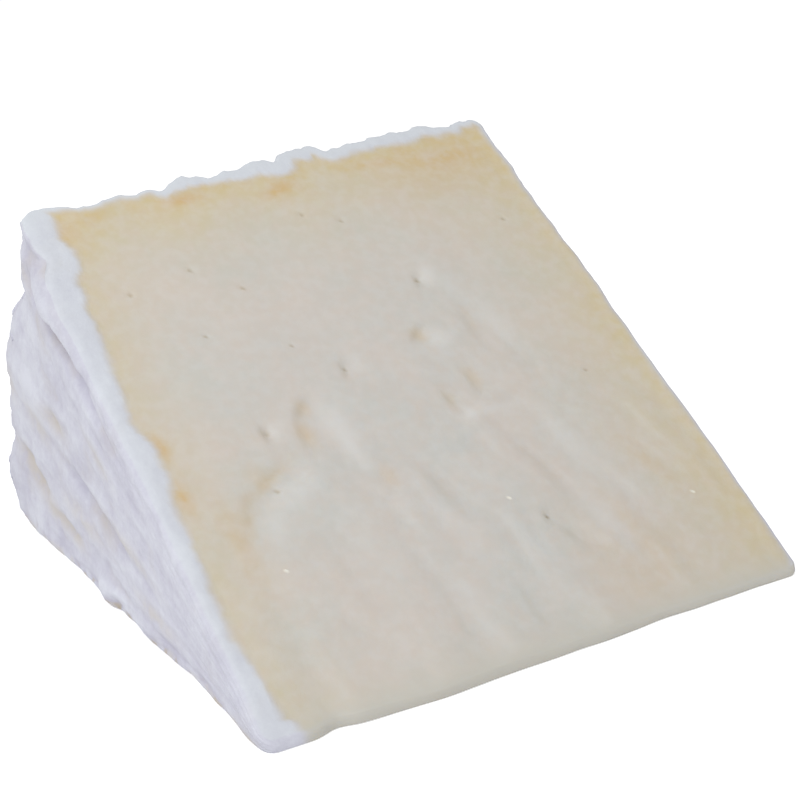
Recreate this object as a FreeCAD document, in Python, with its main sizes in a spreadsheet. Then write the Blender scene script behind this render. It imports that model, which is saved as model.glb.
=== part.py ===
"""Wedge of aged sheep cheese with a white mould rind, lying on one of its two cut faces.

The wedge is what two knife cuts leave of a round wheel: the wheel is turned about its own
axis, which lies level along X, and is met with a prism that has the wedge's angle. The cuts
meet in the tip at the front (-Y), a little off the wheel's centre. The heel, which is the
wheel's round side, is at the back (+Y), and the wheel's two flat faces are the left and right
ends. Furrows of the ripening mat fan out over the flat faces, the heel is uneven with shallow
hollows, and small dents mark the upper cut. All sizes are millimetres and degrees.
An uneven skin is one smooth surface, worked out point by point from its furrows, hollows or
dents, and what lies outside it is cut off.
"""
import FreeCAD, Part
import math
import os

import Sketcher

Vector = FreeCAD.Vector
Rotation = FreeCAD.Rotation

SIZES = [
    # alias, value, what it is
    ("left_radius", 89.6, "radius of the wheel where its side meets the left flat face"),
    ("right_radius", 93.6, "radius of the wheel where its side meets the right flat face"),
    ("wheel_height", 80.4, "distance between the wheel's two flat faces"),
    ("side_bulge", 1.2, "how far the wheel's side swells between its rims"),
    ("rim_radius", 5.0, "rounding where a flat face turns into the side"),
    ("wedge_angle", 34.5, "angle between the two cuts"),
    ("centre_back", 10.4, "how far the wheel's centre lies behind the tip"),
    ("centre_drop", 10.8, "how far the wheel's centre lies below the resting cut"),
    ("tip_radius", 0.8, "rounding of the tip, where the two cuts meet"),
    ("cut_edge_radius", 1.8, "rounding of the rind at the upper cut's outline"),
    ("rest_edge_radius", 0.8, "rounding of the rind at the resting cut's outline"),
    ("tip_edge_radius", 0.4, "what both of these taper to at the tip"),
    ("furrow_count", 7, "mat furrows on each flat face"),
    ("furrow_depth", 0.9, "depth of the deepest furrow below the flat face"),
    ("furrow_start", 22.0, "distance from the tip at which the furrows begin"),
    ("furrow_full", 60.0, "distance from the tip at which they have their full depth"),
    ("hollow_pitch", 15.0, "distance between neighbouring hollows of the heel"),
    ("hollow_depth", 1.3, "depth of the deepest hollow of the heel"),
    ("skin_step", 2.5, "spacing of the points that shape an uneven skin"),
    ("fine_step", 1.75, "their spacing across the furrows and over the dents"),
    ("skin_reach", 10.0, "how far out a skin takes away what lies beyond it"),
    ("dent_width", 5.0, "width of a dent in the upper cut, halfway down"),
    ("dent_depth", 0.8, "depth of the deepest dent"),
    ("dent_lip", 0.12, "how far the dented skin clears the cut between the dents"),
]

# Dents in the upper cut: share of the wheel's height from the left flat face, share of its
# left radius from the tip, and share of the full depth.
DENTS = [
    (0.66, 0.68, 1.0),
    (0.59, 0.57, 0.8),
    (0.43, 0.54, 0.7),
    (0.32, 0.48, 1.0),
    (0.24, 0.46, 0.7),
    (0.21, 0.36, 1.0),
    (0.59, 0.43, 0.9),
    (0.62, 0.20, 0.8),
]

# How the furrows vary: their least depth as a share of the deepest, how far they stray to
# the side (radians of their own spacing), and how unlike each other they are.
FURROW_LEAST = 0.12
FURROW_STRAY = 0.9
FURROW_VARIETY = 0.35
# How the hollows vary: how far a row of them strays (radians of their spacing), the spacing
# up the heel against that across it, and the share of the depth that slanting waves make.
HOLLOW_STRAY = 1.2
HOLLOW_STRETCH = 0.85
HOLLOW_SLANT = 0.4
# Distance in millimetres within which two places count as one.
SNAP = 0.01

doc = FreeCAD.newDocument("cheese")
sheet = doc.addObject("Spreadsheet::Sheet", "Sizes")
for row, (alias, value, meaning) in enumerate(SIZES, start=1):
    sheet.set("A%d" % row, meaning)
    sheet.set("B%d" % row, str(value))
    sheet.setAlias("B%d" % row, alias)
doc.recompute()


def size(alias):
    """The number in a cell of the sheet."""
    return float(sheet.get(alias))


def bind(thing, **expressions):
    """Ties properties to cells. A double underscore in a name stands for a dot."""
    for name, expression in expressions.items():
        thing.setExpression(name.replace("__", "."), expression)


def origin_plane(body, role):
    """One of a body's own origin planes."""
    return next(f for f in body.Origin.OriginFeatures if f.Role == role)


def new_sketch(body, name, role):
    """An empty sketch on one of a body's origin planes."""
    sketch = body.newObject("Sketcher::SketchObject", name)
    sketch.AttachmentSupport = [(origin_plane(body, role), "")]
    sketch.MapMode = "FlatFace"
    return sketch


def tie(sketch, name, kind, *where, expression=None):
    """Adds a constraint and, for a dimension, names it and ties it to the sheet."""
    index = sketch.addConstraint(Sketcher.Constraint(kind, *where))
    if expression:
        sketch.renameConstraint(index, name)
        sketch.setExpression("Constraints." + name, expression)


# A sketch's origin point, and a line's two ends, as Sketcher counts them.
ORIGIN = (-1, 1)
START, END = 1, 2


def make_wheel():
    """The whole wheel: a half profile turned about the X axis, with its two rims rounded."""
    body = doc.addObject("PartDesign::Body", "wheel")
    half = size("wheel_height") / 2
    left, right = size("left_radius"), size("right_radius")
    profile = new_sketch(body, "wheel_profile", "XY_Plane")
    corners = [Vector(-half, 0, 0), Vector(half, 0, 0), Vector(half, right, 0), Vector(-half, left, 0)]
    crest = Vector(0, (left + right) / 2 + size("side_bulge"), 0)
    profile.addGeometry(Part.LineSegment(corners[0], corners[1]))
    profile.addGeometry(Part.LineSegment(corners[1], corners[2]))
    profile.addGeometry(Part.Arc(corners[2], crest, corners[3]))
    profile.addGeometry(Part.LineSegment(corners[3], corners[0]))
    tie(profile, "", "Coincident", 0, END, 1, START)
    tie(profile, "", "Coincident", 1, END, 2, START)
    tie(profile, "", "Coincident", 2, END, 3, START)
    tie(profile, "", "Coincident", 3, END, 0, START)
    tie(profile, "", "Vertical", 1)
    tie(profile, "", "Vertical", 3)
    tie(profile, "", "Symmetric", 0, START, 0, END, *ORIGIN)
    tie(profile, "", "Horizontal", 0)
    tie(profile, "height", "DistanceX", 0, START, 0, END, 2 * half,
        expression="Sizes.wheel_height")
    tie(profile, "right_flat", "DistanceY", 1, START, 1, END, right,
        expression="Sizes.right_radius")
    tie(profile, "left_flat", "DistanceY", 3, END, 3, START, left,
        expression="Sizes.left_radius")
    half_chord_2 = "(Sizes.wheel_height^2 + (Sizes.right_radius - Sizes.left_radius)^2) / 4"
    tie(profile, "side_arc", "Radius", 2, profile.Geometry[2].Radius,
        expression="(%s + Sizes.side_bulge^2) / (2 * Sizes.side_bulge)" % half_chord_2)

    turn = body.newObject("PartDesign::Revolution", "wheel_turn")
    turn.Profile = profile
    turn.ReferenceAxis = (profile, ["H_Axis"])
    turn.Angle = 360
    doc.recompute()

    rims = [
        "Edge%d" % (i + 1)
        for i, e in enumerate(turn.Shape.Edges)
        if isinstance(e.Curve, Part.Circle) and min(abs(e.Curve.Radius - r) for r in (left, right)) < SNAP
    ]
    rounding = body.newObject("PartDesign::Fillet", "rims")
    rounding.Base = (turn, rims)
    bind(rounding, Radius="Sizes.rim_radius")
    bind(body, Placement__Base__y="Sizes.centre_back", Placement__Base__z="-Sizes.centre_drop")
    return body


def make_sector():
    """The prism between the two cuts, wider and longer than the wheel, with a rounded tip."""
    body = doc.addObject("PartDesign::Body", "sector")
    reach = 2 * size("right_radius")
    angle = math.radians(size("wedge_angle"))
    outline = new_sketch(body, "sector_outline", "YZ_Plane")
    tip, low = Vector(0, 0, 0), Vector(reach, 0, 0)
    high = Vector(reach * math.cos(angle), reach * math.sin(angle), 0)
    outline.addGeometry(Part.LineSegment(tip, low))
    outline.addGeometry(Part.LineSegment(low, high))
    outline.addGeometry(Part.LineSegment(high, tip))
    tie(outline, "", "Coincident", 0, END, 1, START)
    tie(outline, "", "Coincident", 1, END, 2, START)
    tie(outline, "", "Coincident", 2, END, 0, START)
    tie(outline, "", "Coincident", 0, START, *ORIGIN)
    tie(outline, "", "Horizontal", 0)
    tie(outline, "reach", "Distance", 0, reach, expression="2 * Sizes.right_radius")
    tie(outline, "", "Equal", 0, 2)
    tie(outline, "cut_angle", "Angle", 0, START, 2, END, angle,
        expression="Sizes.wedge_angle * 1 deg")

    block = body.newObject("PartDesign::Pad", "sector_block")
    block.Profile = outline
    block.SideType = "Symmetric"
    bind(block, Length="2 * Sizes.wheel_height")
    doc.recompute()

    tips = [
        "Edge%d" % (i + 1)
        for i, e in enumerate(block.Shape.Edges)
        if all(math.hypot(v.Y, v.Z) < SNAP for v in e.Vertexes)
    ]
    rounding = body.newObject("PartDesign::Fillet", "tip")
    rounding.Base = (block, tips)
    bind(rounding, Radius="Sizes.tip_radius")
    return body


def meets_cut(edge, angle):
    """True if an edge lies in the cut at that angle above the rest, away from the tip."""
    first, last = edge.ParameterRange
    spots = [edge.valueAt(first + (last - first) * share) for share in (0.1, 0.5, 0.9)]
    rise = [p.z * math.cos(angle) - p.y * math.sin(angle) for p in spots]
    return max(abs(r) for r in rise) < SNAP


def near_tip(point):
    """True if a point is no further from the tip than the place where its rounding begins."""
    setback = size("tip_radius") / math.tan(math.radians(size("wedge_angle")) / 2)
    return math.hypot(point.y, point.z) < setback + SNAP


def soften(block):
    """Rounds the outline of both cuts, where the soft rind turns over the knife's edge.

    The two outlines meet at the tip, so their rounding tapers towards it.
    """
    rounding = doc.addObject("Part::Fillet", "soft_outline")
    rounding.Base = block
    upper, rest = math.radians(size("wedge_angle")), 0.0
    links = []
    for i, edge in enumerate(block.Shape.Edges, start=1):
        at_tip = [near_tip(v.Point) for v in edge.Vertexes]
        if all(at_tip):
            continue
        for angle, alias in ((upper, "cut_edge_radius"), (rest, "rest_edge_radius")):
            if meets_cut(edge, angle):
                radii = [size("tip_edge_radius") if at else size(alias) for at in at_tip]
                links.append((i, radii[0], radii[-1]))
    rounding.Edges = links
    doc.recompute()
    return rounding


def steps(first, last, step):
    """Evenly spaced numbers from first to last, no further apart than step."""
    count = max(3, math.ceil((last - first) / step))
    return [first + (last - first) * i / count for i in range(count + 1)]


def skin_tool(name, rows, outward):
    """What lies outside a smooth surface through rows of points, as a tool that cuts it off."""
    surface = Part.BSplineSurface()
    surface.interpolate(rows)
    tool = doc.addObject("Part::Feature", name)
    tool.Shape = surface.toShape().extrude(outward * size("skin_reach"))
    return tool


def furrow_at(y, z, side):
    """Depth of the furrows at a point of a flat face. They fan out from the tip."""
    share = math.atan2(z, y) / math.radians(size("wedge_angle"))
    ramp = (math.hypot(y, z) - size("furrow_start")) / (size("furrow_full") - size("furrow_start"))
    ramp = min(1.0, max(0.0, ramp))
    turn = 2 * math.pi * share
    stray = FURROW_STRAY * math.sin(0.8 * turn + side)
    groove = 0.5 + 0.5 * math.sin(size("furrow_count") * turn + stray)
    uneven = 1 - FURROW_VARIETY + FURROW_VARIETY * math.sin(size("furrow_count") * share * math.e + 2 * side)
    return size("furrow_depth") * (FURROW_LEAST + (1 - FURROW_LEAST) * ramp * groove * uneven)


def make_flat_skin(side, name):
    """The furrowed skin of one flat face: side is -1 on the left and 1 on the right."""
    step, fine = size("skin_step"), size("fine_step")
    longest = max(size("left_radius"), size("right_radius")) + size("centre_back")
    tallest = longest * math.sin(math.radians(size("wedge_angle")))
    rows = [
        [
            Vector(side * (size("wheel_height") / 2 - furrow_at(y, z, side)), y, z)
            for y in steps(-2 * step, longest + 2 * step, 2 * step)
        ]
        for z in steps(-step, tallest + step, fine)
    ]
    return skin_tool(name, rows, Vector(side, 0, 0))


def hollow_at(x, along):
    """Depth of the heel's hollows, x across it and along up its curve."""
    across = 2 * math.pi * x / size("hollow_pitch")
    upward = 2 * math.pi * along / size("hollow_pitch") * HOLLOW_STRETCH
    row = math.sin(across + HOLLOW_STRAY * math.sin(upward / 2))
    column = math.sin(upward + HOLLOW_STRAY * math.sin(across / 2 + 1))
    slant = math.sin((across - upward) * 0.6)
    share = (1 - HOLLOW_SLANT) * row * column + HOLLOW_SLANT * slant
    return size("hollow_depth") * (0.5 + 0.5 * share)


def make_heel_skin():
    """The uneven skin of the heel, between and a little past the two cuts and flat faces."""
    half, step = size("wheel_height") / 2, size("skin_step")
    left, right = size("left_radius"), size("right_radius")
    drop, back = size("centre_drop"), size("centre_back")
    angle = math.radians(size("wedge_angle"))
    first = math.asin(drop / left)
    last = angle + math.asin((back * math.sin(angle) + drop * math.cos(angle)) / left)
    margin = 2 * step / left
    rows = []
    for turn in steps(first - margin, last + margin, step / left):
        row = []
        for x in steps(-half - step, half + step, step):
            share = (x + half) / (2 * half)
            radius = left + (right - left) * share + size("side_bulge") * 4 * share * (1 - share)
            radius -= hollow_at(x, turn * left)
            row.append(Vector(x, back + radius * math.cos(turn), radius * math.sin(turn) - drop))
        rows.append(row)
    middle = (first + last) / 2
    return skin_tool("heel_skin", rows, Vector(0, math.cos(middle), math.sin(middle)))


def dent_at(across, along):
    """Depth of the dents at a point of the upper cut, measured from the left flat face and the tip."""
    spread = size("dent_width") / 2 / math.sqrt(math.log(2))
    depth = 0
    for across_share, along_share, depth_share in DENTS:
        away = math.hypot(
            across - across_share * size("wheel_height"), along - along_share * size("left_radius"))
        depth += depth_share * size("dent_depth") * math.exp(-(away / spread) ** 2)
    return depth


def make_cut_skin():
    """The dented skin of the upper cut. It clears the cut by a lip, so only the dents cut in."""
    angle = math.radians(size("wedge_angle"))
    uphill = Vector(0, math.cos(angle), math.sin(angle))
    outward = Vector(0, -math.sin(angle), math.cos(angle))
    width, step, lip = size("wheel_height"), size("fine_step"), size("dent_lip")
    margin = size("rim_radius") + size("cut_edge_radius")
    rows = [
        [
            Vector(across - width / 2, 0, 0) + uphill * along + outward * (lip - dent_at(across, along))
            for across in steps(margin, width - margin, step)
        ]
        for along in steps(margin, size("left_radius") - margin, step)
    ]
    return skin_tool("cut_skin", rows, outward)


def cut_off(name, base, tool):
    """One block less a tool."""
    block = doc.addObject("Part::Cut", name)
    block.Base = base
    block.Tool = tool
    doc.recompute()
    return block


def make_wedge():
    """The finished wedge, standing with the middle of its box's bottom at the origin."""
    block = doc.addObject("Part::Common", "wedge_block")
    block.Base = make_wheel()
    block.Tool = make_sector()
    doc.recompute()
    softened = soften(block)
    dented = cut_off("dented_block", softened, make_cut_skin())
    left_done = cut_off("left_done", dented, make_flat_skin(-1, "left_skin"))
    both_done = cut_off("both_done", left_done, make_flat_skin(1, "right_skin"))
    wedge = cut_off("cheese_wedge", both_done, make_heel_skin())
    box = wedge.Shape.optimalBoundingBox(False, False)
    middle = Vector((box.XMin + box.XMax) / 2, (box.YMin + box.YMax) / 2, box.ZMin)
    wedge.Placement = FreeCAD.Placement(-middle, Rotation())
    doc.recompute()
    return wedge


pieces = [make_wedge()]

for thing in doc.Objects:
    if "Invalid" in thing.State or "Error" in thing.State:
        raise RuntimeError("%s failed: %s" % (thing.Name, thing.State))

os.makedirs("parts", exist_ok=True)
for piece in pieces:
    shape = piece.Shape
    if shape.isNull() or not shape.isValid() or len(shape.Solids) != 1:
        raise RuntimeError("%s isn't one valid solid" % piece.Label)
    shape.exportStep("parts/%s.step" % piece.Label)
    box = shape.optimalBoundingBox(False, False)
    print("%s: %.1f x %.1f x %.1f mm, %.1f cm3, %d faces"
          % (piece.Label, box.XLength, box.YLength, box.ZLength, shape.Volume / 1000, len(shape.Faces)))
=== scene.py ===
"""Looks of a wedge of aged sheep cheese with a white mould rind, lying on one of its two cuts.

The wedge is one closed skin: the rind side runs round it as a wall (left flat face, heel, right
flat face and the thin nose at the tip), and the two knife cuts close it above and below. The
relief is worked out point by point in millimetres. Tufts of loose mould are scattered over the
heel with Geometry Nodes.
"""
import math

import bpy
import numpy as np
from bpy.props import FloatProperty, FloatVectorProperty, IntProperty, PointerProperty, StringProperty
from mathutils import Matrix, Vector, geometry


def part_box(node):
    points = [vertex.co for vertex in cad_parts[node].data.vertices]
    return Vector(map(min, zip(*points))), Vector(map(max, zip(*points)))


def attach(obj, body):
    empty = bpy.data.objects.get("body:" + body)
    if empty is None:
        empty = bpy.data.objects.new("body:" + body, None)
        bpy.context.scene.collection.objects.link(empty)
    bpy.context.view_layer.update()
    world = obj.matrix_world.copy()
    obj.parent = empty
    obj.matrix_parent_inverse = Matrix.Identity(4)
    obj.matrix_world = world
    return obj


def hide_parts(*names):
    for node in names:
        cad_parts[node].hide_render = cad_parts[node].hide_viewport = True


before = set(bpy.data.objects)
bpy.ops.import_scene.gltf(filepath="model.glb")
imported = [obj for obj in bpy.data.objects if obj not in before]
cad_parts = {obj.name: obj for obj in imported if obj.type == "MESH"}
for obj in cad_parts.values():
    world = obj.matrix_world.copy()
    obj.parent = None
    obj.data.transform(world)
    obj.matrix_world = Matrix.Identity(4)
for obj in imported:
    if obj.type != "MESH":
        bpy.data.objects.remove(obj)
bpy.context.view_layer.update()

bl_info = {
    "name": "Aged Sheep Cheese Wedge",
    "version": (1, 0, 0),
    "blender": (4, 5, 0),
    "location": "View3D > Sidebar > Cheese",
    "description": "Builds a wedge of aged sheep cheese with its mould rind, knife cuts and stage",
    "category": "Add Mesh",
}

MM = 0.001
NODE = "cheese_wedge"
BODY = "root"

# ---- What the knife and the ripening left on the cut face. All lengths are millimetres: across
# is measured from the left flat face, along from the tip, both on the cut.

# Dents: across, along, depth, length, width, turn of the length from straight uphill.
DENTS = [
    (53, 64.6, 0.6, 1.7, 1.6, 15), (48, 55.2, 0.65, 2, 1.8, 50), (56.9, 54.6, 0.4, 5, 3, 0),
    (60.8, 49, 0.3, 6, 3, -10), (34.8, 52, 0.5, 1.8, 1.7, 10), (26, 47.2, 0.62, 2.4, 2.6, 40),
    (27.6, 40.6, 0.32, 6.2, 3.8, -12), (24.2, 42.8, 0.42, 2.6, 2.2, 5), (31.6, 33.4, 0.4, 2.6, 2.4, -15),
    (19.2, 44.8, 0.6, 1.6, 1.5, 0), (17.2, 37.8, 0.5, 4, 2.3, 60), (12.2, 33.2, 0.42, 3.6, 2.8, 22),
    (46.9, 43, 0.5, 2.6, 1.6, -10), (51.8, 45, 0.4, 2.6, 2, 0), (50.2, 20.8, 0.45, 1.4, 1.6, 15),
    (52.6, 17.2, 0.5, 4.6, 3, -25), (39, 30, 0.4, 7, 4, -15), (54.6, 30, 0.4, 8, 4.4, -20),
    (64, 22, 0.4, 8, 4, -18), (31.5, 9.4, 0.4, 5, 3, -5), (41.6, 9.6, 0.4, 5.5, 3, -8),
    (58, 9, 0.35, 5, 3, -12), (21, 22, 0.3, 7, 4, -10),
]
# Folds pushed up beside the dents: across, along, height, length, width, turn.
FOLDS = [
    (51.6, 53.6, 0.3, 3.4, 1.6, 70), (55.6, 66.4, 0.25, 3.6, 2.6, 30), (50.6, 40.4, 0.4, 4.6, 1.6, 65),
    (20.6, 35.8, 0.35, 4, 1.8, 70), (57, 14.6, 0.3, 5, 2.4, -20), (70.5, 19, 0.2, 7, 3, -15),
]
# Eyes, the pinholes of ripening gas: across, along, radius.
EYES = [
    (10.9, 72.8, 0.42), (20.6, 75.1, 0.34), (26.8, 70, 0.36), (41.5, 81.5, 0.34), (46.9, 79, 0.38),
    (72.5, 73.3, 0.3), (18.1, 62.9, 0.26), (29.1, 58.1, 0.24), (52.9, 65, 0.46), (19.3, 44.9, 0.5),
    (16.7, 35.7, 0.42), (34.6, 52.2, 0.34), (50.1, 21.1, 0.28), (69, 42.2, 0.24),
]
# Crystals, the white specks of long ripening: across, along, radius. A negative radius marks
# them as the opposite of an eye: they stand up and are white.
CRYSTALS = [(46.4, 25.2, -0.2), (72.4, 18.1, -0.2), (12.6, 24.0, -0.16)]
# Stains of the paste and painted light on it, as the dents but with a strength instead of a depth: amber
# where the rind's edge has begun to melt it, amber as painted shade where it lies inside a dent, and pale,
# below zero, as painted highlight on slopes that face the light.
STAINS_AND_PAINTED_LIGHT = [
    (25.6, 88.6, 0.8, 1, 2.6, 0), (40.4, 87.4, 0.95, 1.3, 2.8, -20), (58, 89.2, 0.5, 1, 6, 0),
    (6, 86, 0.6, 3, 1.8, 0), (4.8, 46.4, 0.9, 2.2, 0.9, 0), (4.6, 38.2, 0.8, 2.4, 0.9, 0),
    (71, 88, 0.5, 2.2, 7, 0), (66, 84.5, 0.3, 5, 11, 0), (8.6, 30, 0.4, 6, 1.6, 0),
    (60, 12, 0.22, 10, 9, 0), (69.4, 24, 0.25, 6, 1.3, -20), (24.2, 43.2, 0.42, 1.9, 1.2, 0),
    (26, 47.4, 0.35, 1.3, 1.2, 0), (31.8, 33.6, 0.32, 2, 1.8, 0), (15, 38.6, 0.25, 1.6, 1.6, 0),
    (48, 55.2, 0.4, 1.1, 1.2, 0), (51.8, 46, 0.3, 2, 1.2, -5), (47, 42.6, 0.35, 2.2, 0.9, -10),
    (16.4, 37.6, 0.35, 4.4, 0.9, 60), (11.2, 32.6, 0.3, 3.4, 1, 20), (57, 57, 0.2, 3.4, 0.6, 0),
    (29.6, 43, -0.7, 4.2, 1.9, -14), (29.6, 37.6, -0.5, 4, 1, -14), (19.8, 34.6, -0.7, 3.2, 1.7, 62),
    (14.4, 30.4, -0.6, 3.2, 1.6, 15), (55.2, 65.8, -0.5, 1.4, 1.3, 20), (57.4, 62.4, -0.4, 3, 1.3, 0),
    (51.2, 52.8, -0.6, 2.6, 1.1, 60), (60.2, 54.4, -0.55, 5, 1.8, -8), (52.6, 39.6, -0.6, 0.9, 4.4, 0),
    (48.2, 40.4, -0.6, 2.2, 0.7, -20), (59.8, 32, -0.5, 6, 2, -20), (63, 21.6, -0.4, 5, 1.8, -20),
    (57.8, 18, -0.55, 5.4, 1.4, -12), (46, 17, -0.4, 6, 1.5, -15), (36.8, 53.4, -0.3, 1.6, 1.1, 0),
    (36.4, 26, -0.35, 7, 1.8, -15), (33.4, 12, -0.35, 5, 1.5, -8), (22, 46.6, -0.2, 1.4, 1.2, 0),
]
# Cream stains of the left flat face, where the mould is worn: distance from the tip, height above
# the rest, strength, length, width, rise of the length in degrees.
WORN = [
    (68, 22.6, 0.9, 4, 1.6, 8), (76, 20, 0.6, 5, 2, 20), (84.4, 12.4, 0.9, 3.5, 1.8, 15),
    (79.6, 9.6, 0.9, 4.5, 1.6, 10), (73, 6.6, 0.8, 5, 1.4, 5), (66, 5.6, 0.8, 4, 1.2, 5),
    (60, 10, 0.5, 8, 1.6, 8), (44, 12.5, 0.6, 9, 1.4, 14), (34, 5, 0.6, 6, 1.2, 6),
    (50, 22.5, 0.5, 5, 1.2, 25), (88, 24, 0.5, 3, 3, 60), (62.4, 37, 1, 1.8, 1.1, 20),
    (65, 45.6, 0.6, 3, 1, 5),
]
# Width of the rind's strip round a cut: share of each side's length and width in millimetres.
# The sides are the left flat face from the tip to the heel, the heel from left to right, the
# right flat face from the heel to the tip, and the nose from right to left.
STRIPS = [
    [(0, 4.2), (0.06, 3.2), (0.14, 2.2), (0.3, 2.4), (0.4, 2.8), (0.45, 3.6), (0.5, 3.9), (0.54, 2.5),
     (0.64, 3.2), (0.72, 4), (0.84, 4.5), (0.93, 4.6), (1, 4.4)],
    [(0, 3), (0.05, 1.4), (0.15, 1), (0.27, 1.2), (0.33, 3), (0.38, 1.6), (0.43, 2.2), (0.48, 3.2),
     (0.51, 4.2), (0.545, 2.3), (0.6, 2.9), (0.63, 2), (0.72, 2.4), (0.8, 3), (0.88, 2.2), (1, 1.2)],
    [(0, 1), (0.3, 0.5), (0.6, 0.7), (0.8, 0.5), (1, 0.6)],
    [(0, 0.4), (0.1, 0), (0.93, 0), (1, 1.6)],
]
# Lumps of the rind along the heel's upper edge: share of its length, height, half width.
EDGE_LUMPS = [
    (0.037, 1.4, 2), (0.07, 1.2, 1.8), (0.1, 0.5, 1.2), (0.13, -0.3, 2.4), (0.2, 0.5, 1),
    (0.235, -0.5, 1.2), (0.268, 0.6, 0.7), (0.285, -1.3, 1.6), (0.33, 0.7, 1.6), (0.365, 0.4, 1.2),
    (0.385, -1.1, 1.5), (0.44, -0.5, 2.2), (0.495, 0.5, 1.3), (0.523, -0.8, 0.9), (0.548, 0.4, 0.7),
    (0.58, 1.1, 3), (0.616, 1, 1.3), (0.635, -0.8, 1), (0.662, -0.4, 1.4), (0.7, 0.4, 0.8),
    (0.75, 0.5, 1.6), (0.8, 0.7, 3.2), (0.865, 1.2, 2.2), (0.93, -0.8, 1.4), (0.945, 0.9, 2.4),
    (0.985, 0.7, 1),
]
# Lumps of the rind down the left rim: share of the way down from the upper cut, height, half
# width.
RIM_LUMPS = [
    (0.04, -1.5, 3), (0.22, -2, 4), (0.4, -0.3, 2.5), (0.46, 0.6, 4), (0.58, -0.6, 2), (0.65, -0.3, 2.6),
    (0.75, -0.5, 2.2), (0.87, 0.9, 3.6),
]
# Lumps of the left flat face's foot, from the tip to the heel, and waves of the nose, from the
# left to the right: share of its length, height, half width.
FOOT_LUMPS = [
    (0.05, 0.4, 3), (0.23, -0.5, 2.5), (0.37, 0.4, 3), (0.5, 0.7, 4.5), (0.78, 0.4, 5), (0.97, -0.6, 4),
]
NOSE_WAVES = [(0.12, -0.9, 2.2), (0.32, 0.4, 6.0), (0.71, -0.5, 5.0), (0.90, -0.6, 12.0)]
# How far back from the tip the waves die away.
NOSE_REACH = 12.0
# How far the right flat face stands out at the tip and at the heel.
LEAN_AT_TIP, LEAN_AT_HEEL = 0.75, -0.35
# Share by which the tip thins out towards the right, and how far back that dies away.
THIN_TIP, THIN_REACH = 0.5, 4.0
# Creases and pits of the left flat face: distance from the tip, height above the rest, depth,
# length, width, rise of the length in degrees. A negative depth is a ridge.
SCARS = [
    (66, 46.2, 1.4, 5.5, 1.3, 4), (71, 41.6, 1.4, 5, 2.2, 35), (65, 41, -1, 8, 1.7, 26),
    (63.8, 37, 1.9, 2, 1, 10), (60.6, 35.9, 1.9, 2.6, 1.1, 25), (53.5, 32, 1, 9, 1.4, 36),
    (69, 22.5, 0.9, 3.2, 1.6, 10), (84, 12.4, 0.8, 3, 1.6, 10), (79, 9.6, 0.8, 3.4, 1.4, 5),
    (68, 6, 0.7, 3.6, 1.2, 5), (57, 14.4, 1, 14, 1.4, 16), (52, 2, -1, 4, 1.8, 5),
    (49, 0.9, 1.1, 2, 1.2, 0), (30, 1.6, 0.7, 3, 1.2, 0), (20, 1.2, 0.7, 2.6, 1, 0),
    (76, 25, -0.8, 7, 2.4, 20),
]


def mm(name, description, size):
    """A length in the sidebar; the size given here is in millimetres."""
    return FloatProperty(name=name, description=description, default=size * MM, unit="LENGTH")


def tint(name, description, code):
    """A colour in the sidebar, as sRGB hex."""
    return StringProperty(name=name, description=description, default=code)


class WedgeSizes(bpy.types.PropertyGroup):
    """Main sizes of the wedge."""

    height: mm("Wheel height", "Distance between the wheel's two flat faces", 80.0)
    left_radius: mm("Left radius", "Radius of the wheel at its left flat face", 89.4)
    right_radius: mm("Right radius", "Radius of the wheel at its right flat face", 93.3)
    bulge: mm("Side bulge", "How far the wheel's side swells between its rims", 1.2)
    rim: mm("Rim rounding", "Rounding where a flat face turns into the heel", 5.0)
    cut_rim: mm("Rim rounding at the cut", "The same rounding where the upper cut meets it", 1.2)
    angle: FloatProperty(
        name="Wedge angle", description="Angle between the two cuts",
        default=math.radians(34.5), unit="ROTATION")
    centre_back: mm("Centre back", "How far the wheel's centre lies behind the tip", 10.4)
    centre_drop: mm("Centre drop", "How far the wheel's centre lies below the rest", 10.8)
    nose: mm("Nose rounding", "Rounding of the tip, where the two cuts meet", 0.8)
    corner: mm("Tip corners", "Rounding of the tip's two corners, seen from above", 1.8)
    spacing: mm("Mesh spacing", "Distance between neighbouring points of the skin", 0.52)


class RindLooks(bpy.types.PropertyGroup):
    """Relief and colours of the rind."""

    streaks: mm("Streak relief", "Height of the streaks that fan out over the flat faces", 0.55)
    lumps: mm("Heel lumps", "Height of the heel's soft lumps", 1.0)
    lip: mm("Rind lip", "How far the rind stands above the paste at a cut", 0.2)
    edge: mm("Edge rounding", "Rounding where the rind turns over the upper cut", 1.5)
    tufts: IntProperty(
        name="Mould tufts", description="About how many tufts of mould grow on the heel", default=800)
    tuft_size: mm("Tuft size", "Width of a middling tuft of mould", 1.3)
    # Bright and shaded are lit and shaded copies of the mould: the relief mixes them, painting shade in the
    # furrows and the bright colour on the high mould.
    bright: tint("Bright", "Colour of the thick white mould", "#D6D8E2")
    shaded: tint("Shaded", "Colour of the mould in the furrows", "#C1C0CF")
    # Fuzz is the loose mould's colour and partly a painted highlight: it lightens the heel's top edge and
    # the rind's strip on the upper cut, which catch the light.
    fuzz: tint("Fuzz", "Colour of the loose mould round the upper cut", "#D5DBDF")
    # Cream also carries the painted shade along the left face's foot, where it meets the floor.
    cream: tint("Cream", "Colour where the mould is worn thin", "#C8C1B9")


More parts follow.
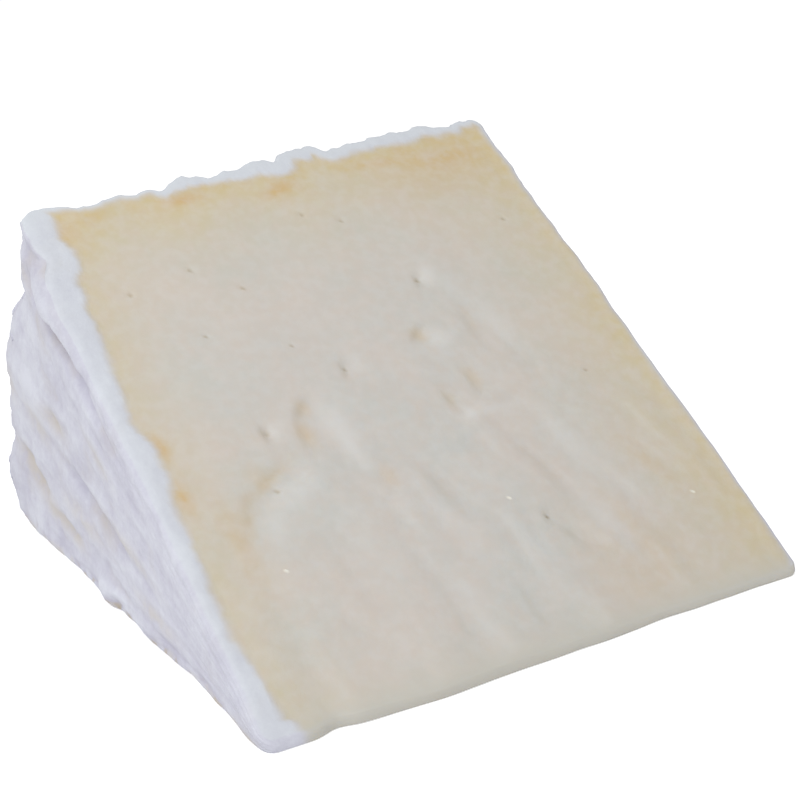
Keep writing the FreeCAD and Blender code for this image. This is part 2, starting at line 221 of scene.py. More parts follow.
class PasteLooks(bpy.types.PropertyGroup):
    """Colours of the paste."""

    ivory: tint("Ivory", "Colour of the open paste", "#CCC5BE")
    cool: tint("Cool ivory", "Its cooler, greyer patches", "#C6C5C0")
    warm: tint("Warm ivory", "Its small rosy flecks", "#D0C2B7")
    # Pale is the painted highlight of slopes that face the light, besides a few pale flecks.
    pale: tint("Pale", "Fresh slopes of dents and folds", "#D6D6D4")
    ripe: tint("Ripe paste", "Yellower paste under the rind", "#CDBE96")
    # Amber also serves as painted shade inside dents.
    amber: tint("Amber", "Deepest patches right under the rind", "#CBAD76")
    # Tip is painted shade of the thin tip, where its rounded nose turns down towards the floor.
    tip: tint("Tip", "Greyer paste at the wedge's thin tip", "#C3C1B8")
    # Eye is painted shade: inside pinholes, on dent walls turned from the light, and in specks at the
    # rind's foot.
    eye: tint("Eye", "Colour inside a pinhole or a dent", "#B3A384")
    crystal: tint("Crystal", "White crystals", "#E8E5DC")


class StageLooks(bpy.types.PropertyGroup):
    """Floor, light and camera."""

    camera_place: FloatVectorProperty(
        name="Camera place", description="Where the camera stands", size=3,
        default=(-0.1063, -0.2113, 0.1009), unit="LENGTH")
    camera_aim: FloatVectorProperty(
        name="Camera aim", description="What the camera points at", size=3,
        default=(0.0108, 0.0053, 0.0172), unit="LENGTH")
    camera_roll: FloatProperty(
        name="Camera roll", description="Turn of the camera about its line of sight",
        default=math.radians(-3.97), unit="ROTATION")
    lens: FloatProperty(name="Lens", description="Focal length in millimetres", default=76.9)
    sky: FloatProperty(
        name="Sky light", description="Strength of the even light from all round", default=0.52)
    key: FloatProperty(
        name="Key light", description="Strength of the soft box above and to the left", default=1.68)
    board_lift: FloatProperty(
        name="Board lift", description="How much whiter the camera sees the board", default=0.5)
    key_far: mm("Key distance", "How far the soft box stands from the cheese", 500.0)
    key_size: mm("Key size", "Width of the soft box", 400.0)


# ---- Small tools


def linear(code):
    """A colour written as sRGB hex, as the linear numbers that a shader takes."""
    parts = [int(code[i:i + 2], 16) / 255 for i in (1, 3, 5)]
    return tuple(c / 12.92 if c <= 0.04045 else ((c + 0.055) / 1.055) ** 2.4 for c in parts) + (1.0,)


def feed(tree, node, links):
    """Gives a node its inputs: a socket is linked, any other value is set."""
    for key, value in links.items():
        if isinstance(value, bpy.types.NodeSocket):
            tree.links.new(value, node.inputs[key])
        else:
            node.inputs[key].default_value = value


def add_node(tree, kind, links=None, out=None, **settings):
    """Adds a node with its inputs and settings, and gives back the node or one of its outputs."""
    node = tree.nodes.new(kind)
    for name, value in settings.items():
        setattr(node, name, value)
    feed(tree, node, links or {})
    return node if out is None else node.outputs[out]


def new_material(name):
    """A material, its node tree and its one shader."""
    material = bpy.data.materials.new(name)
    material.use_nodes = True
    return material, material.node_tree, material.node_tree.nodes["Principled BSDF"]


def smooth(low, high, value):
    """Rises softly from 0 at low to 1 at high."""
    share = np.clip((value - low) / (high - low), 0.0, 1.0)
    return share * share * (3 - 2 * share)


# Large primes that mix a cell's place, the number of slopes that the cells' corners pick from,
# the factor that spreads noise over about -1 to 1, and the shift of each finer layer.
PRIMES = np.array([73856093, 19349663, 83492791])
SLOPES, SPREAD, SHIFT = 4096, 1.7, 7.3


def noise(points, seed):
    """Smooth noise between about -1 and 1, one unit wide. Each use has a seed of its own."""
    slopes = np.random.default_rng(seed).normal(size=(SLOPES, 3))
    slopes /= np.linalg.norm(slopes, axis=1, keepdims=True)
    cell = np.floor(points).astype(np.int64)
    inside = points - cell
    fade = inside ** 3 * (inside * (inside * 6 - 15) + 10)
    total = np.zeros(len(points))
    for corner in np.ndindex(2, 2, 2):
        corner = np.array(corner)
        pick = np.bitwise_xor.reduce((cell + corner) * PRIMES, axis=1) % SLOPES
        reach = ((inside - corner) * slopes[pick]).sum(1)
        total += reach * np.where(corner, fade, 1 - fade).prod(1)
    return total * SPREAD


def spots(u, v, w=0.0):
    """Places for noise on a face: two coordinates of each point, and one that they share."""
    return np.column_stack([u, v, np.full_like(u, w)])


def layered(points, seed, layers=3, gain=0.5):
    """Noise with finer noise on top of it."""
    total = sum(gain ** i * noise(points * 2 ** i + SHIFT * i, seed + i) for i in range(layers))
    return total / sum(gain ** i for i in range(layers))


def bumps(across, along, marks, lean=0.0):
    """Sum of oval marks: across, along, height, length, width, turn in degrees.

    Lean makes their left side steeper than their right one, as where a knife dragged the paste.
    """
    total = np.zeros_like(across)
    for a, b, height, length, width, turn in marks:
        c, s = math.cos(math.radians(turn)), math.sin(math.radians(turn))
        da, db = across - a, along - b
        long_way, short_way = da * s + db * c, da * c - db * s
        side = width * np.where(short_way < 0, 1 - lean, 1 + 0.5 * lean)
        total += height * np.exp(-((long_way / length) ** 2 + (short_way / side) ** 2))
    return total


def lumps_along(place, length, lumps):
    """Sum of soft lumps on a line: share of its length, height, half width."""
    return sum(h * np.exp(-(((place - share) * length) / w) ** 2) for share, h, w in lumps)


def resample(line, count):
    """A line of points, spaced evenly, with count steps."""
    steps = np.linalg.norm(np.diff(line, axis=0), axis=1)
    far = np.concatenate([[0], np.cumsum(steps)])
    want = np.linspace(0, far[-1], count + 1)
    return np.column_stack([np.interp(want, far, line[:, k]) for k in range(line.shape[1])])


# ---- The wedge's form. Inside these functions lengths are millimetres and the tip's apex, where
# the two cut planes would meet, is at y = z = 0.


# Steps of a rounded corner of the wall's path, and points along the heel, before resampling.
CORNER_STEPS, CREST_STEPS = 24, 90


class Form:
    """The plain wedge before its relief: where each point of its wall lies."""

    def __init__(self, sizes):
        self.half = sizes.height / MM / 2
        self.left, self.right = sizes.left_radius / MM, sizes.right_radius / MM
        self.bulge, self.rim, self.cut_rim = sizes.bulge / MM, sizes.rim / MM, sizes.cut_rim / MM
        self.angle, self.nose, self.corner = sizes.angle, sizes.nose / MM, sizes.corner / MM
        self.back, self.drop = sizes.centre_back / MM, sizes.centre_drop / MM
        self.uphill = np.array([0, math.cos(self.angle), math.sin(self.angle)])
        self.normal = np.array([0, -math.sin(self.angle), math.cos(self.angle)])
        self.setback = self.nose / math.tan(self.angle / 2)

    def radius(self, x):
        share = (x + self.half) / (2 * self.half)
        return self.left + (self.right - self.left) * share + self.bulge * 4 * share * (1 - share)

    def heel(self, x, t):
        """The wheel's side at x, from the resting cut (t = 0) to the upper cut (t = 1)."""
        radius = self.radius(x)
        first = np.arcsin(self.drop / radius)
        slant = self.back * math.sin(self.angle) + self.drop * math.cos(self.angle)
        last = self.angle + np.arcsin(slant / radius)
        turn = first + (last - first) * t
        return self.back + radius * np.cos(turn), radius * np.sin(turn) - self.drop

    def tip(self, t):
        """The rounded nose, from the resting cut (t = 0) to the upper cut (t = 1)."""
        turn = 1.5 * math.pi - t * (math.pi - self.angle)
        high = self.nose * (1 + math.cos(self.angle))
        share = self.nose * (1 + np.sin(turn)) / high
        return self.setback + self.nose * np.cos(turn), high * share ** 1.7

    def length(self, x):
        """Length of the upper cut at x, from the nose to the heel."""
        y, z = self.heel(x, 1.0)
        ty, tz = self.tip(1.0)
        return np.hypot(y - ty, z - tz)

    def sides(self, spacing, rim):
        """The wall's path seen from above the cut, in four sides: x, and length from the nose."""
        turn = np.linspace(0, math.pi / 2, CORNER_STEPS + 1)
        middle = CORNER_STEPS // 2

        def corner(side, radius, at_heel):
            """A quarter circle, from the flat face to the heel or to the nose."""
            x = side * (self.half - radius * (1 - np.cos(turn)))
            inset = radius * (1 - np.sin(turn))
            return np.column_stack([x, self.length(x) - inset if at_heel else inset])

        front_left, front_right = corner(-1, self.corner, False), corner(1, self.corner, False)
        back_left, back_right = corner(-1, rim, True), corner(1, rim, True)
        across = np.linspace(rim - self.half, self.half - rim, CREST_STEPS)[1:-1]
        crest = np.column_stack([across, self.length(across)])
        left = np.vstack([front_left[middle::-1], back_left[:middle + 1]])
        heel = np.vstack([back_left[middle:], crest, back_right[:middle - 1:-1]])
        right = np.vstack([back_right[middle::-1], front_right[:middle + 1]])
        nose = np.vstack([front_right[middle:], front_left[:middle - 1:-1]])
        tall = round(self.length(0.0) / spacing)
        wide = round(2 * self.half / spacing)
        return [resample(line, n) for line, n in zip((left, heel, right, nose), (tall, wide, tall, wide))]

    def wall(self, x, q, t):
        """Points of the wall: x and q give the path's point, t the height between the cuts."""
        share = np.clip(q / self.length(x), 0, 1)
        hy, hz = self.heel(x, t)
        ty, tz = self.tip(t)
        return np.stack([x + 0 * t, ty + share * (hy - ty), tz + share * (hz - tz)], axis=-1)


def flat_relief(base, looks, seed):
    """Relief of a flat face, and how deep its furrows are: streaks fan out from the tip."""
    shape = base.shape[:2]
    y, z = base[..., 1].ravel(), base[..., 2].ravel()
    reach, turn = np.hypot(y, z), np.arctan2(z, y)
    place = spots(y, z, seed)
    turn = turn + 0.02 * noise(place / (9, 9, 1), seed + 1)
    ramp = smooth(8, 60, reach)
    streaks = layered(spots(reach / 17, turn * 22, 0.5), seed + 2, 3, 0.55)
    streaks = streaks + 0.35 * ramp * noise(spots(reach / 7, turn * 62, 0.5), seed + 6)
    rough = layered(place / (3.2, 3.2, 1), seed + 9, 3, 0.62) * (0.35 + 0.65 * smooth(35, 80, reach))
    swell = 0.45 * noise(place / (19, 19, 1), seed + 14) * ramp
    relief = looks.streaks / MM * (streaks * (0.38 + 0.5 * ramp) + 0.6 * rough) + swell
    return relief.reshape(shape), (0.75 * streaks + 0.6 * rough).reshape(shape)


def rounded(depth, radius):
    """How far a rounding stands back from a wall, this far below its edge."""
    left = np.clip(radius - depth, 0, None)
    return radius - np.sqrt(np.clip(radius ** 2 - left ** 2, 0, None))


# Where a rounding of radius 1 leaves its middle: the same distance below and behind the edge.
MID = 1 - math.sqrt(0.5)
DOWN = np.array([0.0, 0.0, -1.0])
# How much closer the wall's rows lie near both cuts.
ROW_CROWDING = 0.07
# Distance from the tip at which the streaks' grain has its true width.
SKIN_RADIUS = 58


def make_wall(form, sizes, looks):
    """The rind side: its sides, its points by path and height, its edges' rounding, its marks."""
    spacing = sizes.spacing / MM
    sides = form.sides(spacing, form.rim)
    soft = np.vstack([side[:-1] for side in sides])
    crisp = np.vstack([side[:-1] for side in form.sides(spacing, form.cut_rim)])
    rows = round(2 * form.heel(0.0, 1.0)[1] / (3 * spacing))
    t = np.linspace(0, 1, rows + 1)
    t = (t - ROW_CROWDING * np.sin(2 * math.pi * t))[None, :]
    # The wheel's rims are well rounded, but crisp where the knife met them.
    sharp = smooth(0.86, 0.99, t)
    x, q = (soft[:, k:k + 1] + (crisp - soft)[:, k:k + 1] * sharp for k in range(2))
    base, long = form.wall(x, q, t), form.length(x)
    along = np.roll(base, -1, 0) - np.roll(base, 1, 0)
    out = np.cross(along, np.gradient(base, axis=1))
    out /= np.linalg.norm(out, axis=2, keepdims=True)
    if out[len(sides[0]) // 2, rows // 2, 0] > 0:
        out = -out

    # How much each point belongs to the left and right flat faces, the heel and the nose.
    on_left, on_right = np.clip(-out[..., 0], 0, 1) ** 2, np.clip(out[..., 0], 0, 1) ** 2
    between, at_heel = 1 - on_left - on_right, smooth(0.3, 0.7, q / long) + 0 * t
    on_heel, on_nose = between * at_heel, between * (1 - at_heel)

    def grain(size, seed, layers=1, gain=0.5):
        """Noise at each plain point, with features of a size in millimetres."""
        return layered(base.reshape(-1, 3) / size, seed, layers, gain).reshape(base.shape[:2])

    def flat_marks(marks):
        """Sum of oval marks on the left flat face, the turn given as a rise from level."""
        return bumps(base[..., 1], base[..., 2], [mark[:5] + (90 - mark[5],) for mark in marks])

    # How far each point stands out, and the finer part of that, which shades the mould.
    left, left_fine = flat_relief(base, looks, 11)
    right, right_fine = flat_relief(base, looks, 31)
    broad, lumpy = grain(8.5, 51, 2), grain(3.4, 55, 3, 0.55)
    heel = looks.lumps / MM * (0.75 * broad + 0.65 * lumpy)
    scars, tall = -flat_marks(SCARS), base[:, -1:, 2]
    near_cut, near_rest = np.exp(-((1 - t) * tall / 5) ** 2), np.exp(-(t * tall / 4) ** 2)
    rim = lumps_along(1 - t, tall, RIM_LUMPS) * np.exp(-((long - q) / 9) ** 2)
    crest = lumps_along((x + form.half) / (2 * form.half), 2 * form.half, EDGE_LUMPS)
    crest = crest + 0.7 * grain(1.9, 75, 3, 0.7)
    foot = lumps_along(q / long, long, FOOT_LUMPS) * near_rest
    relief = (on_left * (left + scars + foot) + on_right * right
              + on_heel * (heel * (1 - 0.7 * near_cut) + crest * near_cut)
              + (on_left + on_heel) * at_heel * rim * np.clip(-x / form.half, 0, 1)
              + on_nose * 0.12 * grain(6, 71))
    fine = (on_left * (left_fine + 1.3 * scars) + on_right * right_fine
            + on_heel * (0.5 * broad + 0.8 * lumpy))

    # The relief stays within the cut planes at the wall's two edges.
    push = out
    for plane, share in ((form.normal, smooth(0.75, 1.0, t)), (DOWN, smooth(0.25, 0.0, t))):
        push = push - (push @ plane)[..., None] * plane * share[..., None]
    push /= np.linalg.norm(push, axis=2, keepdims=True)
    points = base + push * relief[..., None]

    # Both edges are rounded, less where the wedge is thin. The grain stops short of them.
    top = looks.edge / MM * (on_left + 0.4 * on_heel + 0.35 * on_right)[:, -1:]
    bottom = 1.0 * (1 - on_nose)[:, :1] + 0 * top
    under_top = -(points @ form.normal)
    clear = smooth(0.3, 2.4, under_top) * smooth(0.3, 2.0, points[..., 2])
    thick = under_top[:, :1]
    top, bottom = np.minimum(top, 0.3 * thick), np.minimum(bottom, 0.2 * thick)
    under = MID * top + under_top * (1 - MID * top / np.maximum(thick, 1e-6))
    points -= form.normal * (under - under_top)[..., None]
    ceiling = np.maximum(points[:, -1:, 2], 1e-6)
    above = MID * bottom + points[..., 2] * (1 - MID * bottom / ceiling)
    points[..., 2] = above
    points -= push * (rounded(under, top) + rounded(above, bottom))[..., None]
    points[..., 2] = np.maximum(points[..., 2], 0)

    y, z = base[..., 1], base[..., 2]
    # Painted shade along the foot of the left flat face, where it meets the floor: a patchy band added to
    # the worn stains, and darker specks taken off the relief.
    worn_and_foot_shade = flat_marks(WORN) + np.exp(-(z / 0.9) ** 2) * smooth(-0.2, 0.4, grain(4, 77))
    foot_shadow = np.exp(-(z / 1.3) ** 2) * smooth(0.05, 0.4, grain(2.2, 78))
    grain_along = np.where(at_heel * on_heel > 0.5, base[..., 0], np.hypot(y, z))
    marks = {
        "rind": np.maximum(1 - smooth(0.2, 0.8, on_nose), 1 - smooth(4.2, 6.0, x + form.half)),
        "relief": fine * clear - 3.0 * foot_shadow * on_left,
        "flat": (on_left + on_right) * clear,
        "tip": on_nose,
        "stain": np.clip(worn_and_foot_shade, 0, 1) * on_left,
        # Fringe: the heel's top edge, painted with the fuzz colour as loose mould and partly as a painted
        # highlight.
        "fringe": on_heel * np.exp(-(under_top / 2.6) ** 2),
        "tuft": on_heel * smooth(3.0, 6.0, under_top) * smooth(2.0, 4.5, points[..., 2]),
        "skin": np.stack([grain_along, np.arctan2(z, y) * SKIN_RADIUS], axis=-1),
    }
    return sides, points, (top[:, 0], bottom[:, 0]), marks


# How many points are measured at once, so that memory stays small.
AT_ONCE = 2000


def far_from(points, line):
    """Distance of each point from the nearest point of a line, and which one that is."""
    far, nearest = np.empty(len(points)), np.empty(len(points), int)
    for first in range(0, len(points), AT_ONCE):
        part = slice(first, first + AT_ONCE)
        gap = np.linalg.norm(points[part, None] - line[None], axis=2)
        nearest[part], far[part] = gap.argmin(1), gap.min(1)
    return far, nearest


# How the yellow of ripening reaches in from each side: strength and depth in millimetres.
RIPENING = [(0.50, 6.0), (0.95, 9.0), (0.78, 9.0), (0.12, 5.0)]


def cut_marks(flat, loop, sides, radius, seed):
    """Marks of a cut's points, how far they are from the heel and from the wall, and how sunk."""
    starts = np.cumsum([0] + [len(side) - 1 for side in sides])
    place = spots(*flat.T)
    wave = 0.45 * noise(place / 3.6, seed) + 0.28 * noise(place / 1.3, seed + 1)
    patchy = layered(place / 10, seed + 2, 2)
    mask, ripe, round_here = np.zeros((3, len(flat)))
    away, from_sides = np.full(len(flat), np.inf), []
    for k, (strip, (strength, depth)) in enumerate(zip(STRIPS, RIPENING)):
        stretch = np.arange(starts[k], starts[k + 1] + 1) % len(loop)
        far, nearest = far_from(flat, loop[stretch])
        wide = np.interp(nearest / (len(stretch) - 1), *zip(*strip))
        wide = wide + wave * np.minimum(1, wide / 2)
        mask = np.maximum(mask, (1 - smooth(wide - 0.9, wide + 0.6, far)) * smooth(0, 0.6, wide))
        zone = strength * np.exp(-(np.clip(far - wide, 0, None) / depth) ** 1.1) * (1 + 0.35 * patchy)
        ripe = 1 - (1 - ripe) * (1 - np.clip(zone, 0, 1))
        closer = far < away
        away = np.where(closer, far, away)
        round_here = np.where(closer, radius[stretch][nearest], round_here)
        from_sides.append(far)
    marks = {"rind": mask, "ripe": ripe, "tip": np.exp(-from_sides[3] / 2.4)}
    return marks, from_sides[1], away, rounded(away + MID * round_here, round_here)


def knife_marks(u, v):
    """Dents, folds, soft swells and the knife's drag on the paste."""
    place = spots(u, v)
    marks = bumps(u, v, [(a, b, -deep, lon, wid, turn) for a, b, deep, lon, wid, turn in DENTS], 0.6)
    marks += bumps(u, v, FOLDS, 0.4)
    slanted = spots(u + 0.32 * v + 2.0 * noise(place / 9, 84), v)
    drag = noise(slanted / (5.0, 20, 1), 81) * smooth(66, 24, v) * smooth(20, 45, u + 0.4 * (60 - v))
    drag += 0.25 * noise(slanted / (2.4, 9, 1), 82) * smooth(60, 25, v)
    return 0.7 * marks + 0.25 * drag + 0.22 * layered(place / 15, 83, 2)


def cut_relief(u, v, mask, away, looks):
    """Relief of a knife cut, its slope to the right, which paints shade and highlight on the paste as if
    lit from the left, and the velvet of the rind round it.
    """
    marks = knife_marks(u, v)
    slope_shading = knife_marks(u + 0.5, v) - knife_marks(u - 0.5, v)
    place = spots(u, v)
    pores = np.clip(noise(place / 1.5, 85) - 0.45, 0, None) * 0.35
    paste = 1 - mask
    relief = paste * (marks - 0.5 * pores)
    relief -= looks.lip / MM * paste * smooth(0, 3, away)
    velvet = layered(place / (1.1, 3.2, 1), 87, 3, 0.6)
    relief += 0.13 * velvet * mask
    near = smooth(0.0, 1.5, away)
    return relief * near, slope_shading, velvet * near


class Skin:
    """Gathers the points, faces and marks of one closed mesh."""

    def __init__(self):
        self.parts, self.faces, self.count = [], [], 0

    def add_points(self, points, **marks):
        self.parts.append((points, marks))
        self.count += len(points)
        return np.arange(self.count - len(points), self.count)

    def add_quads(self, grid):
        quads = np.stack([grid[:-1, :-1], grid[1:, :-1], grid[1:, 1:], grid[:-1, 1:]], axis=-1)
        self.faces.extend(quads.reshape(-1, 4).tolist())

    def points(self):
        return np.vstack([points for points, _ in self.parts])

    def mark(self, name, width=1):
        """A mark of every point, 0 where a part doesn't have it."""
        return np.vstack([
            np.reshape(marks.get(name, np.zeros((len(points), width))), (-1, width))
            for points, marks in self.parts])


def add_upper_cut(skin, form, looks, ids, rim, sides, rounding):
    """Closes the wall above with the knife cut that faces the eye."""
    tall, wide = len(sides[0]) - 1, len(sides[1]) - 1
    loop = np.column_stack([rim[:, 0] + form.half, rim @ form.uphill])
    i, j = np.arange(tall + 1), np.arange(wide + 1)
    # The wall's points along the left side, the right side, the nose and the heel.
    border = (i, 2 * tall + wide - i, (2 * tall + 2 * wide - j) % len(loop), tall + j)
    left, right, nose, heel = (loop[side] for side in border)
    a, b = (i / tall)[:, None, None], (j / wide)[:, None]
    flat = (1 - b) * left[:, None] + b * right[:, None] + (1 - a) * nose + a * heel
    flat -= (1 - a) * (1 - b) * nose[0] + (1 - a) * b * nose[-1]
    flat -= a * (1 - b) * heel[0] + a * b * heel[-1]
    inner = flat[1:-1, 1:-1].reshape(-1, 2)
    eye = np.zeros(len(inner))
    stain = np.clip(bumps(inner[:, 0], inner[:, 1], STAINS_AND_PAINTED_LIGHT), -1, 1)
    u, v = inner[:, 0], inner[:, 1]
    for across, along, radius in EYES + CRYSTALS:
        # The nearest point moves to the middle of the eye.
        inner[np.hypot(u - across, v - along).argmin()] = across, along
        eye += math.copysign(1, radius) * np.exp(-(np.hypot(u - across, v - along) / radius) ** 2)
    marks, from_heel, away, sunk = cut_marks(inner, loop, sides, rounding, 91)
    mask = marks["rind"]
    # The rind's strip on the cut takes the fuzz colour too, as loose mould and partly as a painted
    # highlight.
    fringe = (0.7 + 0.3 * np.exp(-(from_heel / 2.2) ** 2)) * mask
    relief, slope_shading, velvet = cut_relief(u, v, mask, away, looks)
    high = relief - sunk - 0.3 * np.clip(eye, -0.4, 1)
    points = np.outer(u - form.half, (1, 0, 0)) + np.outer(v, form.uphill) + np.outer(high, form.normal)
    # The paste's relief mark is its slope, which paints its shade and highlight.
    new = skin.add_points(
        points, **marks, eye=eye, stain=stain, fringe=fringe,
        relief=slope_shading * (1 - mask) + velvet * mask, skin=inner)
    grid = np.empty((tall + 1, wide + 1), int)
    grid[:, 0], grid[:, -1], grid[0], grid[-1] = (ids[side] for side in border)
    grid[1:-1, 1:-1] = new.reshape(tall - 1, wide - 1)
    skin.add_quads(grid[:, ::-1])


# Points of the resting cut: rings that follow its edge (how far in, and one point for how many
# of the edge), and a plain grid in the middle (its margin and step).
REST_RINGS = ((0.35, 1), (0.8, 2), (1.6, 2), (2.7, 4), (4.2, 5), (6.2, 6), (9.0, 8))
REST_MARGIN, REST_STEP = 11.5, 4.3


def add_resting_cut(skin, ids, rim, sides, rounding):
    """Closes the wall below with the cut that the wedge rests on."""
    loop = rim[:, :2]
    step = np.roll(loop, -1, 0) - np.roll(loop, 1, 0)
    inward = np.column_stack([step[:, 1], -step[:, 0]])
    inward /= np.linalg.norm(inward, axis=1, keepdims=True)
    rings = [(loop + inward * deep)[::every] for deep, every in REST_RINGS]
    low, high = loop.min(0) + REST_MARGIN, loop.max(0) - REST_MARGIN
    columns, lines = (np.arange(low[k], high[k], REST_STEP) for k in range(2))
    middle = np.stack(np.meshgrid(columns, lines), -1).reshape(-1, 2)
    inner = np.vstack(rings + [middle])
    every = [Vector(p) for p in np.vstack([loop, inner])]
    border = [(k, (k + 1) % len(loop)) for k in range(len(loop))]
    made = geometry.delaunay_2d_cdt(every, border, [], 1, 1e-6)
    if len(made[0]) != len(every):
        raise RuntimeError("the resting cut's points ran together")
    marks, _, _, sunk = cut_marks(inner, loop, sides, rounding, 95)
    new = skin.add_points(np.column_stack([inner, sunk]), **marks, skin=inner)
    index = np.concatenate([ids, new])
    order = [group[0] for group in made[3]]
    for face in made[2]:
        corners = [order[k] for k in face]
        a, b, c = (np.array(every[k]) for k in corners[:3])
        turn = (b[0] - a[0]) * (c[1] - a[1]) - (b[1] - a[1]) * (c[0] - a[0])
        ordered = corners if turn < 0 else corners[::-1]
        skin.faces.append([int(index[k]) for k in ordered])


def make_skin(scene):
    """The whole cheese as one closed mesh, with its marks as attributes."""
    sizes, looks = scene.cheese_sizes, scene.cheese_rind
    form = Form(sizes)
    sides, wall, (top, bottom), marks = make_wall(form, sizes, looks)
    count, rows = wall.shape[:2]
    skin = Skin()
    marks = {name: np.reshape(value, (count * rows, -1)) for name, value in marks.items()}
    ids = skin.add_points(wall.reshape(-1, 3), **marks).reshape(count, rows)
    skin.add_quads(np.vstack([ids, ids[:1]])[:, ::-1])
    add_upper_cut(skin, form, looks, ids[:, -1], wall[:, -1], sides, top)
    add_resting_cut(skin, ids[:, 0], wall[:, 0], sides, bottom)

    points = skin.points()
    # The right flat face leans in at the heel and out at the tip, and the nose isn't straight.
    share = np.clip(points[:, 1] / form.length(0.0), 0, 1)
    waves = lumps_along(points[:, 0] / (2 * form.half) + 0.5, 2 * form.half, NOSE_WAVES)
    lean = LEAN_AT_TIP + (LEAN_AT_HEEL - LEAN_AT_TIP) * share
    points[:, 0] += smooth(0, form.half, points[:, 0]) * lean
    points[:, 1] -= waves * np.exp(-np.clip(points[:, 1] - form.setback, 0, None) / NOSE_REACH)
    # The tip thins out towards the right.
    near_tip = np.exp(-np.clip(points[:, 1], 0, None) / THIN_REACH)
    points[:, 2] *= 1 - THIN_TIP * smooth(-0.2 * form.half, form.half, points[:, 0]) * near_tip
    points[:, 1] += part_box(NODE)[0].y / MM - (form.setback - form.nose)
    mesh = bpy.data.meshes.new("cheese")
    mesh.from_pydata((points * MM).tolist(), [], skin.faces)
    for name in ("rind", "ripe", "stain", "tip", "relief", "flat", "eye", "fringe", "tuft"):
        attribute = mesh.attributes.new(name, "FLOAT", "POINT")
        attribute.data.foreach_set("value", skin.mark(name).astype(np.float32).ravel())
    grain = mesh.attributes.new("skin", "FLOAT2", "POINT")
    grain.data.foreach_set("vector", skin.mark("skin", 2).astype(np.float32).ravel())
    corner = np.empty(len(mesh.loops), int)
    mesh.loops.foreach_get("vertex_index", corner)
    starts = np.empty(len(mesh.polygons), int)
    mesh.polygons.foreach_get("loop_start", starts)
    share = np.maximum.reduceat(skin.mark("rind").ravel()[corner], starts)
    mesh.polygons.foreach_set("material_index", (share < 0.5).astype(np.int32))
    mesh.shade_smooth()
    mesh.update()
    return mesh


# ---- Finishes


